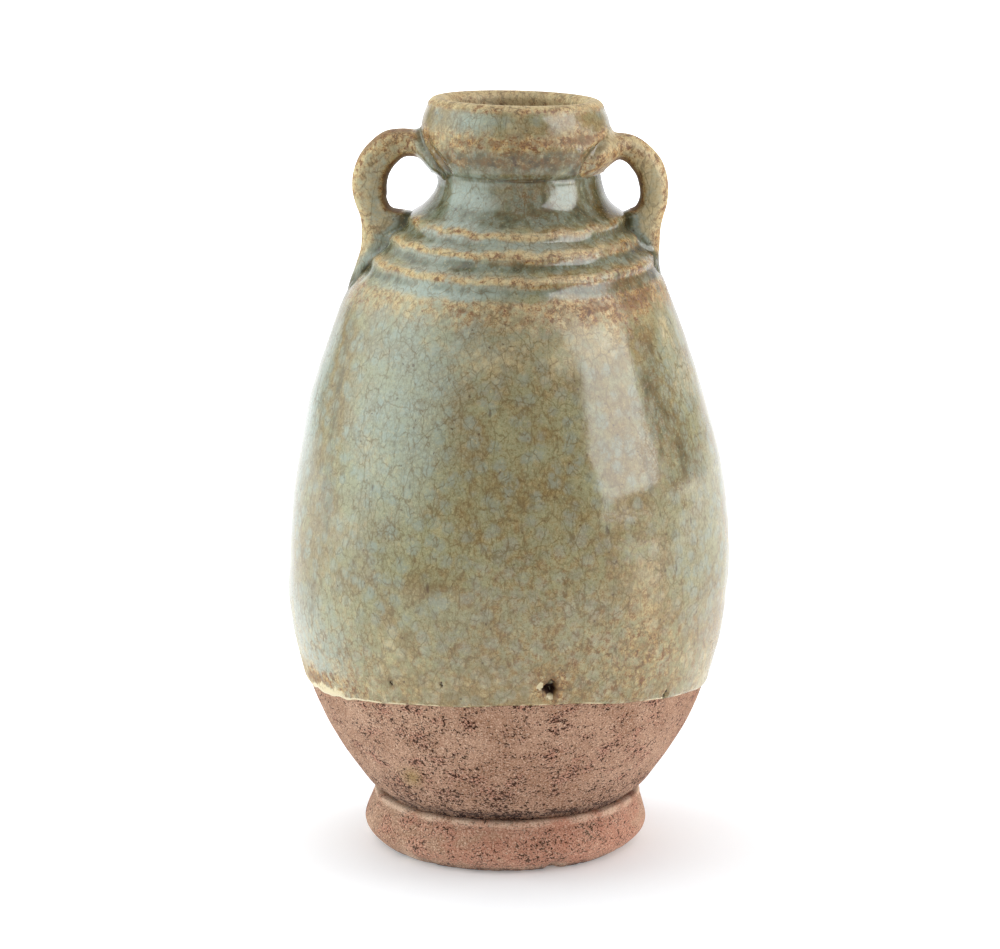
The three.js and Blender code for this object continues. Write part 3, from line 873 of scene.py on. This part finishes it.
class VaseColours(bpy.types.PropertyGroup):
    """Colours of the clay and of the glaze."""

    green: colour_property("Green", "Glaze of full thickness", 148, 145, 108)
    olive: colour_property("Olive", "Browner regions of the full glaze", 138, 121, 78)
    cloud: colour_property("Cloud", "Grey-blue blots deep in the glaze", 136, 146, 132)
    milky: colour_property("Milky", "Pale veil in the glaze", 153, 166, 155)
    pooled: colour_property("Pooled", "Glaze where it ran together", 98, 104, 80)
    deep: colour_property("Deep", "Glaze where it fills a corner", 56, 56, 38)
    buff: colour_property("Buff", "Thin glaze on ridges and edges", 202, 182, 134)
    stain: colour_property("Stain", "Stained specks", 104, 80, 42)
    crack: colour_property("Crack", "Lines of the crackle", 104, 88, 54)
    toasted: colour_property("Toasted", "Golden brown where the glaze is thin", 174, 132, 72)
    # Also the dark brown of the painted shade under the handles' loops
    burnt_and_shade: colour_property("Burnt", "Iron brown specks in the thin glaze", 116, 76, 36)
    chip: colour_property("Chip", "Chips and crust at the edge of the glaze", 212, 196, 156)
    ash: colour_property("Ash", "Green-yellow stains on the bare clay", 205, 212, 140)
    clay: colour_property("Clay", "Bare clay", 166, 124, 98)
    clay_pale: colour_property("Pale clay", "Paler blotches of the bare clay", 186, 146, 120)
    clay_red: colour_property("Red clay", "Redder blotches of the bare clay", 198, 138, 114)
    clay_dark: colour_property("Dark clay", "Darker grains of the bare clay", 126, 88, 66)
    clay_grain: colour_property("Clay grains", "Palest grains of the bare clay", 222, 190, 164)
    pit: colour_property("Pits", "Inside of the pits", 60, 33, 17)


class VaseSizes(bpy.types.PropertyGroup):
    """Sizes that a user may change."""

    glaze_thickness: bpy.props.FloatProperty(
        name="Glaze thickness", description="Thickness of the glaze on the walls",
        default=GLAZE_THICKNESS * MM, min=0.0001, max=0.001, unit="LENGTH", precision=5,
    )
    pot_columns: bpy.props.IntProperty(
        name="Columns", description="Faces round the pot", default=340, min=60, max=400,
    )
    handle_columns: bpy.props.IntProperty(
        name="Handle columns", description="Faces round a handle", default=72, min=16, max=160,
    )


# Numbers that the materials read, one for each place on a piece

def body_darkening(x, height):
    """Darkening of the bare body: painted shade in the groove over the foot and in a wider band above it,
    and a darker patch at the left.
    """
    groove = 0.6 * bell(height, 12, 1.3) + 0.3 * bell(height, 15, 4)
    return groove + 0.12 * bell(x, -12, 13) * bell(height, 28, 7)


def foot_wear_and_highlight(turn, height):
    """How pale the foot is, in uneven spots: a little all over, rubbed along its lower edge, and on its
    upper edge a pale rim, partly worn and partly a painted highlight where light falls on it from above.
    """
    edges = 0.15 + 1.1 * bell(height, 10.4, 0.8) + 0.5 * bell(height, 0.9, 0.8)
    return edges * (0.7 + 0.5 * ripples(turn, height, 12, 14, 3, SEED + 11))


def right_root_share(x, height):
    """1 on the right handle's root under the cup, 0 away from it."""
    return eased(x, 5, 15) * eased(height, 132, 136)


def tone_changes(turn, height):
    """Each regional tint, among them painted shade and painted reflections, and each smear, some of them
    painted highlights on the root ridges: its share, and what it adds to the three tones.
    """
    for centre, middle, turn_reach, reach, *changes in TINTS_AND_PAINTED_LIGHT:
        yield bell(away(turn, centre), 0, turn_reach) * bell(height, middle, reach), changes
    for path, width, _, *changes in SMEARS:
        yield smear_share(turn, height, path, width), changes


def coat_tones(turn, height, edge_gap):
    """How thick, toasted and milky the coat is: pooled in grooves, thin and toasted on the
    ridges, the band, the rim and the shoulder, and then the tints and smears, among which are
    painted shade beside the right handle, painted reflections and painted highlights on the root ridges."""
    level = height - ridge_rise(turn)
    frayed = 0.2 * ripples(turn, height, 24, 20, 2, SEED + 6)
    uneven = 0.1 * ripples(turn, height, 12, 30, 8, SEED + 5)
    crest = sum(bell(level + frayed, centre + 0.1, 0.75) for centre, _, _ in RIDGES)
    under_crest = sum(bell(level, centre - 1, 0.45) for centre, _, _ in RIDGES[:2])
    groove = sum(bell(level + 0.4 * frayed, centre, 1.1) for centre in GROOVES)
    groove = groove + 1.1 * bell(height, NECK_POOL, 2.2) + 0.6 * bell(height, NECK_WAIST, 2.5)
    groove = groove + 0.6 * bell(height, CUP_FOOT, 1.2)
    seam = bell(height, CUP_FOOT - 0.3, 0.4) * bell(away(turn, 3), 0, 50)
    flare = bell(height + frayed, CUP_FLARE, 1.7)
    band = bell(height + frayed, CUP_BAND, 1.5)
    rim = bell(height, RIM, 0.9)
    fringe = level + 1.6 * frayed
    shoulder = eased(fringe, 114.9, 113.6) * eased(fringe, 107.6, 113)
    low = 0.2 * eased(height, 60, 42)
    thick = 0.9 * groove - 0.7 * crest - 0.9 * rim - 0.1 * band + 2 * flare + 1.2 * seam
    thick = thick + 0.25 * bell(height, 147, 1.2) - 0.25 * shoulder - low + uneven
    toasted = 0.7 * under_crest * eased(turn, -20, 20) + 0.7 * crest + 0.4 * flare
    toasted = toasted + 1.2 * band + 0.25 * rim + 0.6 * bell(height, LIP_EDGE, 0.6) + low
    toasted = toasted + shoulder * (0.5 + 0.5 * eased(turn, -10, 30))
    toasted = toasted * (1 + 3 * uneven)
    toasted = toasted + 1.2 * bell(bubble_distance(turn, height, *BUBBLES[0][:2]), 1.2, 1.7)
    toasted = toasted + 1.2 * bell(away(turn, CRUST - 4), 0, 22) * bell(edge_gap, 2.6, 2.2)
    tones = np.stack([thick, toasted, np.full(thick.shape, -0.1)])
    for share, changes in tone_changes(turn, height):
        tones = tones + np.reshape(changes, (3, 1, 1)) * share
    return tones


def coat_crust(turn, height, edge_gap):
    """How pale and crumbly the coat is: chips at the large bubble, froth at the left end of
    the edge and a broken pale line along the edge."""
    from_line = edge_gap + 0.9 * ripples(turn, height, 30, 8, 1.2, SEED + 7)
    froth = bell(away(turn, CRUST), 0, 26) * bell(from_line, 0.8, 2)
    pale_line = np.clip(0.6 + 0.5 * ripples(turn, height, 30, 6, 1.2, SEED + 9), 0, 1)
    return chipped_skin(turn, height) + 0.68 * froth + 0.8 * pale_line * bell(edge_gap, 0.25, 0.3)


def gap_to_handles(faces):
    """Distance of the coat's places from the nearest handle's skin, at most 9 mm."""
    places = faces.reshape(-1, 3)
    x, y, height = places.T
    gap = np.full(len(places), 9.0)
    for shape in HANDLES.values():
        skin = handle_points(*shape, 120, 48, 0).reshape(-1, 3)
        close = (x * shape[1] > 8) & (height > 104) & (np.abs(y) < 18)
        gap[close] = np.minimum(gap[close], nearest(places[close], skin))
    return gap.reshape(faces.shape[:2])


def loop_tones(outer, thinness, milkiness):
    """How thick, toasted and milky a handle's glaze is: brown inside the loop, so toasted that
    the material turns it into painted shade under the arch, spotted on the outside, milky on its
    faces and thick where it meets the wall; browner on the right root's underside, partly painted shade."""
    gap = wall_gap(outer, GLAZE_THICKNESS)[0]
    height = outer[..., 2]
    angle = angles_round(outer.shape[1])
    outward = np.cos(angle)
    inner_side = eased(outward, -0.45, -0.9) * eased(gap, 0.4, 2)
    outer_side = eased(outward, 0.3, 1)
    facing = bell(outward, -0.05, 0.55)
    top = eased(height, 135, 142)
    root = right_root_share(outer[..., 0], height)
    spread = 0.5 + 0.5 * ripples(np.degrees(angle), height, 10, 120, 20, SEED + 9)
    spread = np.clip(spread, 0, 1)
    thick = (1.9 - 1.4 * root) * bell(gap, 0, 1.5) - thinness - 0.35 * outer_side - 0.08 * facing
    clear = 1 - 0.6 * facing * (1 - top)
    # Inside the loop the toasting passes 1, and there the material turns it dark brown: painted shade under
    # the arch
    toasted = 1.6 * inner_side + spread * (0.45 + 0.65 * outer_side) * clear + 0.4 * top
    toasted = toasted * (0.1 + 0.9 * eased(gap, 0.6, 2.4))
    # Browner glaze on the underside of the right handle's root: partly its own brown, partly painted shade
    toasted = toasted + 1.1 * root * bell(gap, 0, 3.5) * eased(outward, 0.5, -0.3)
    milky = 0.2 + milkiness * facing * (1 - 0.7 * top) - 0.4 * spread
    return thick, toasted, milky


def mark_tones(piece, tones):
    """Stores how thick, toasted and milky a glaze is; these also carry painted shade, painted reflections
    and painted highlights from some tints, smears and the loops' undersides.
    """
    thick, toasted, milky = tones
    mark(piece, "thick", thick)
    mark(piece, "toasted", np.clip(toasted, 0, 1.5))
    mark(piece, "milky", milky)


# Operators, one for each group of pieces

class VASE_OT_clay_pot(bpy.types.Operator):
    """Builds the body, foot ring, neck and mouth cup in bare clay"""

    bl_idname = "vase.clay_pot"
    bl_label = "Clay pot"

    def execute(self, context):
        columns = context.scene.vase_sizes.pot_columns
        points = body_points(columns)
        x, y, height = np.moveaxis(points, -1, 0)
        body = grid_object("thrown_body", points, poles=("start", "end"))
        # Painted shade in the groove over the foot and above it, and a darker patch at the left
        mark(body, "darkened", body_darkening(x, height))
        stain = 0.7 * bell(x, STAIN[0], 2) * bell(height, STAIN[1], 2.2)
        mark(body, "stained", stain * (y < 0))
        finish_piece(body, "clay", "body")
        points = foot_points(columns)
        x, y, height = np.moveaxis(points, -1, 0)
        foot = grid_object("foot_band", points, wrapped_rows=True)
        mark(foot, "reddened", 0.15 + bell(x, 8, 22) * eased(y, 0, -10))
        # Darker along the foot's resting edge
        mark(foot, "darkened", bell(height, 0, 1.2))
        # Pale rubbed edges, partly a painted highlight on the top rim
        mark(foot, "worn", foot_wear_and_highlight(turns(columns), height))
        finish_piece(foot, "clay", "foot_ring")
        neck = grid_object("thrown_neck", neck_points(columns // 2), wrapped_rows=True)
        finish_piece(neck, "clay", "neck")
        cup = grid_object("cup_wall", cup_points(columns // 2), wrapped_rows=True)
        finish_piece(cup, "clay", "mouth_cup")
        return {"FINISHED"}


class VASE_OT_clay_handles(bpy.types.Operator):
    """Builds the clay rolls of both handles"""

    bl_idname = "vase.clay_handles"
    bl_label = "Clay handles"

    def execute(self, context):
        sizes = context.scene.vase_sizes
        for name, shape in HANDLES.items():
            points = handle_points(*shape, 120, sizes.handle_columns, sizes.glaze_thickness / MM)
            piece = grid_object(f"{name}_roll", points, poles=("start", "end"))
            finish_piece(piece, "clay", f"handle_{name}")
        return {"FINISHED"}


class VASE_OT_glaze_coat(bpy.types.Operator):
    """Builds the glaze over the pot, the lip and the inside of the mouth"""

    bl_idname = "vase.glaze_coat"
    bl_label = "Glaze coat"

    def execute(self, context):
        sizes = context.scene.vase_sizes
        turn = turns(sizes.pot_columns)
        from_edge = np.array([0, 0.06, 0.16, 0.3, 0.5, 0.75, 1.05, 1.4, 1.9, 2.5, 3.2])
        steps = ((39.8, 46, 16), (46.9, 112, 64), (112.4, 137.4, 76), (137.9, WALL_TOP, 20))
        rows = np.concatenate([GLAZE_EDGE + from_edge, *(np.linspace(*step) for step in steps)])
        wall_height = lowered(turn, rows[:, None])
        lip_radius, lip_height = (part[1:, None] + 0 * turn for part in lip_arc(16))
        inside_height = np.linspace(WALL_TOP, GLAZE_INSIDE, 16)[1:, None] + 0 * turn
        inside_radius = bore_radius(inside_height)
        radius = np.concatenate([wall_radius(turn, wall_height), lip_radius, inside_radius])
        height = np.concatenate([wall_height, lip_height, inside_height])

        edge_gap = np.full((len(radius), 1), 99.0)
        edge_gap[: len(rows), 0] = rows - GLAZE_EDGE
        bead = np.sqrt(1 - (1 - np.clip(edge_gap, 0, 1)) ** 2)
        swell = 1 + 0.3 * bell(edge_gap, 0.9, 1.2)
        from_end = np.arange(len(radius))[::-1]
        closing = np.clip(from_end / 3, 0, 1)[:, None]
        thickness = sizes.glaze_thickness / MM * bead * swell * closing
        face_radius, face_height = pushed(radius, height, thickness)
        faces = placed(turn, face_radius, face_height)
        back = from_end[1:-1:6]
        hidden = placed(turn, radius[back], height[back])

        tones = coat_tones(turn, face_height, edge_gap)
        past_lip = np.arange(len(radius)) >= len(rows) + 8
        mouth_height = face_height[past_lip]
        tones[0, past_lip] = -0.8
        tones[1, past_lip] = 0.4 + 0.7 * eased(mouth_height, 147.6, 146)
        tones[2, past_lip] = 0.3
        root = right_root_share(faces[..., 0], face_height)
        tones[0] = tones[0] + (1.1 - 1.3 * root) * bell(gap_to_handles(faces), 0, 1.3)
        piece = grid_object("glaze_over_pot", np.concatenate([faces, hidden]), wrapped_rows=True)
        mark_tones(piece, tones)
        mark(piece, "broken", broken_skin(turn, face_height))
        mark(piece, "chipped", np.clip(coat_crust(turn, face_height, edge_gap), 0, 1))
        finish_piece(piece, "glaze", "glaze_coat")
        return {"FINISHED"}


class VASE_OT_glaze_handles(bpy.types.Operator):
    """Builds the glaze over both handles, each a closed skin over its roll"""

    bl_idname = "vase.glaze_handles"
    bl_label = "Glaze on the handles"

    def execute(self, context):
        sizes = context.scene.vase_sizes
        columns = sizes.handle_columns
        for name, shape in HANDLES.items():
            outer = handle_points(*shape, 200, columns, 0)
            inner = handle_points(*shape, 60, columns, sizes.glaze_thickness / MM)
            points = np.concatenate([outer, inner[::-1]])
            piece = grid_object(f"glaze_{name}_loop", points, wrapped_rows=True)
            mark_tones(piece, loop_tones(outer, *LOOP_TONES[name]))
            finish_piece(piece, "glaze", f"glaze_handle_{name}")
        return {"FINISHED"}


# Studio, in metres

FLOOR_REACH = 8
WHITE = (1, 1, 1, 1)

# Lamps: name, angle from the front, angle over the floor, distance, width, height, radiance,
# colour, whether it shows only as a reflection, and its spread in degrees
LAMPS = (
    ("right_window", 67, 30, 1.5, 1.03, 1.6, 5, (0.95, 0.98, 1), True, 180),
    ("left_softbox", -88, 34, 1.5, 3.4, 2.2, 2.65, (0.86, 0.98, 1), True, 110),
    ("left_light", -95, 9, 1.3, 1, 0.45, 8.2, (0.86, 0.98, 1), False, 180),
    ("right_light", 100, 9, 1.3, 1, 0.45, 7.4, (1, 0.98, 0.96), False, 180),
    ("ceiling", 0, 84, 1.5, 1.8, 1.8, 1.05, (1, 1, 1), False, 180),
)


def aimed(place, target):
    """Turn and place of a lamp or camera that looks from place to target."""
    gaze = (Vector(target) - Vector(place)).to_track_quat("-Z", "Y").to_matrix().to_4x4()
    return Matrix.Translation(place) @ gaze


def add_lamp(name, turn, rise, distance, width, height, radiance, colour, mirrored, spread):
    """A rectangular lamp that aims at the pot. Its power follows from the radiance in its
    middle: radiance times pi times its area, less by the share that a narrow spread cuts
    off. A mirrored one shows only as a reflection, and any other only lights."""
    target = Vector((0, 0, 0.075))
    around, up = math.radians(turn), math.radians(rise)
    level = math.cos(up)
    direction = Vector((math.sin(around) * level, -math.cos(around) * level, math.sin(up)))
    lamp = bpy.data.lights.new(name, "AREA")
    lamp.shape = "RECTANGLE"
    lamp.size, lamp.size_y = width, height
    lamp.energy = radiance * math.pi * width * height
    if spread < 180:
        lamp.spread = math.radians(spread)
        lamp.energy *= 1 - lamp.spread / 2 / math.tan(lamp.spread / 2)
    lamp.color = colour
    lamp_object = bpy.data.objects.new(name, lamp)
    bpy.context.scene.collection.objects.link(lamp_object)
    lamp_object.matrix_world = aimed(target + direction * distance, target)
    lamp_object.visible_diffuse = not mirrored
    lamp_object.visible_glossy = mirrored


def floor_material():
    """White floor that keeps shadows. To the camera it glows more with the distance, so that
    it fades to pure white far away; the vase gets an even, weak glow from it. In front of
    the picture it is dark, as where a table ends."""
    material, nodes, principled = new_material("white_floor")
    nodes.feed(principled, "Roughness", 0.9)
    place = nodes.add("ShaderNodeTexCoord").outputs["Object"]
    depth = nodes.add("ShaderNodeSeparateXYZ", {"Vector": place}).outputs["Y"]
    table_end = nodes.ramp(depth, -0.3, -0.45)
    paper, dark = (0.85, 0.87, 0.9, 1), (0.3, 0.3, 0.3, 1)
    nodes.feed(principled, "Base Color", nodes.mixed(table_end, paper, dark))
    from_shadow = {0: place, 1: (0.028, 0, 0)}
    distance = nodes.add("ShaderNodeVectorMath", from_shadow, operation="DISTANCE").outputs["Value"]
    glow = nodes.add("ShaderNodeMix", {
        "Factor": nodes.add("ShaderNodeLightPath").outputs["Is Camera Ray"],
        "A": nodes.ramp(table_end, 0, 1, 0.3, 0.1),
        "B": nodes.ramp(distance, 0.035, 0.24, 0.15, 1),
    }).outputs["Result"]
    white = nodes.add("ShaderNodeEmission", {"Color": WHITE, "Strength": glow}).outputs[0]
    total = nodes.add("ShaderNodeAddShader", {0: principled.outputs[0], 1: white}).outputs[0]
    nodes.feed(nodes.tree.nodes["Material Output"], "Surface", total)
    return material


def add_floor():
    """A wide floor at height 0."""
    mesh = bpy.data.meshes.new("studio_floor")
    corners = [(x * FLOOR_REACH, y * FLOOR_REACH, 0) for x, y in ((-1, -1), (1, -1), (1, 1), (-1, 1))]
    mesh.from_pydata(corners, [], [(0, 1, 2, 3)])
    mesh.materials.append(floor_material())
    floor = bpy.data.objects.new("studio_floor", mesh)
    bpy.context.scene.collection.objects.link(floor)


def white_room():
    """World that is white to the camera and brighter behind the vase than in front of it,
    with a slightly different slope in reflections."""
    world = bpy.data.worlds.new("white_room")
    world.use_nodes = True
    nodes = Nodes(world.node_tree)
    background = world.node_tree.nodes["Background"]
    nodes.feed(background, "Color", WHITE)
    path = nodes.add("ShaderNodeLightPath").outputs
    direction = nodes.add("ShaderNodeTexCoord").outputs["Generated"]
    depth = nodes.add("ShaderNodeSeparateXYZ", {"Vector": direction}).outputs["Y"]
    room = nodes.add("ShaderNodeMix", {
        "Factor": path["Is Glossy Ray"],
        "A": nodes.ramp(depth, -0.2, 0.7, 0.48, 1.25),
        "B": nodes.ramp(depth, 0.7, 0.95, 0.4, 1.35),
    }).outputs["Result"]
    nodes.feed(background, "Strength", nodes.maths("MAXIMUM", path["Is Camera Ray"], room))
    return world


def add_camera():
    """The photograph's camera."""
    camera = bpy.data.cameras.new("photo_camera")
    camera.sensor_width = 36
    camera.lens = 128.7
    camera.clip_start = 0.05
    camera_object = bpy.data.objects.new("photo_camera", camera)
    bpy.context.scene.collection.objects.link(camera_object)
    camera_object.matrix_world = aimed((-0.0019, -0.700, 0.21864), (-0.0019, 0, 0.07481))
    return camera_object


class VASE_OT_studio(bpy.types.Operator):
    """Builds the white floor, the lamps, the white room and the camera"""

    bl_idname = "vase.studio"
    bl_label = "Studio"

    def execute(self, context):
        scene = context.scene
        add_floor()
        for lamp in LAMPS:
            add_lamp(*lamp)
        scene.world = white_room()
        scene.view_settings.view_transform = "Standard"
        scene.camera = add_camera()
        return {"FINISHED"}


class VASE_PT_panel(bpy.types.Panel):
    """Lists the vase's pieces and settings"""

    bl_idname = "VASE_PT_panel"
    bl_label = "Vase"
    bl_space_type = "VIEW_3D"
    bl_region_type = "UI"
    bl_category = "Vase"

    def draw(self, context):
        for operator in PIECES:
            self.layout.operator(operator.bl_idname)
        for group in (context.scene.vase_sizes, context.scene.vase_colours):
            for name in group.bl_rna.properties.keys():
                if name not in {"rna_type", "name"}:
                    self.layout.prop(group, name)


PIECES = (VASE_OT_clay_pot, VASE_OT_clay_handles, VASE_OT_glaze_coat, VASE_OT_glaze_handles, VASE_OT_studio)
CLASSES = (VaseColours, VaseSizes, *PIECES, VASE_PT_panel)


def register():
    for made in CLASSES:
        bpy.utils.register_class(made)
    bpy.types.Scene.vase_colours = bpy.props.PointerProperty(type=VaseColours)
    bpy.types.Scene.vase_sizes = bpy.props.PointerProperty(type=VaseSizes)


def unregister():
    del bpy.types.Scene.vase_sizes
    del bpy.types.Scene.vase_colours
    for made in reversed(CLASSES):
        bpy.utils.unregister_class(made)


def main():
    """Builds every piece and the studio."""
    register()
    bpy.ops.vase.clay_pot()
    bpy.ops.vase.clay_handles()
    bpy.ops.vase.glaze_coat()
    bpy.ops.vase.glaze_handles()
    bpy.ops.vase.studio()


if __name__ == "__main__":
    main()
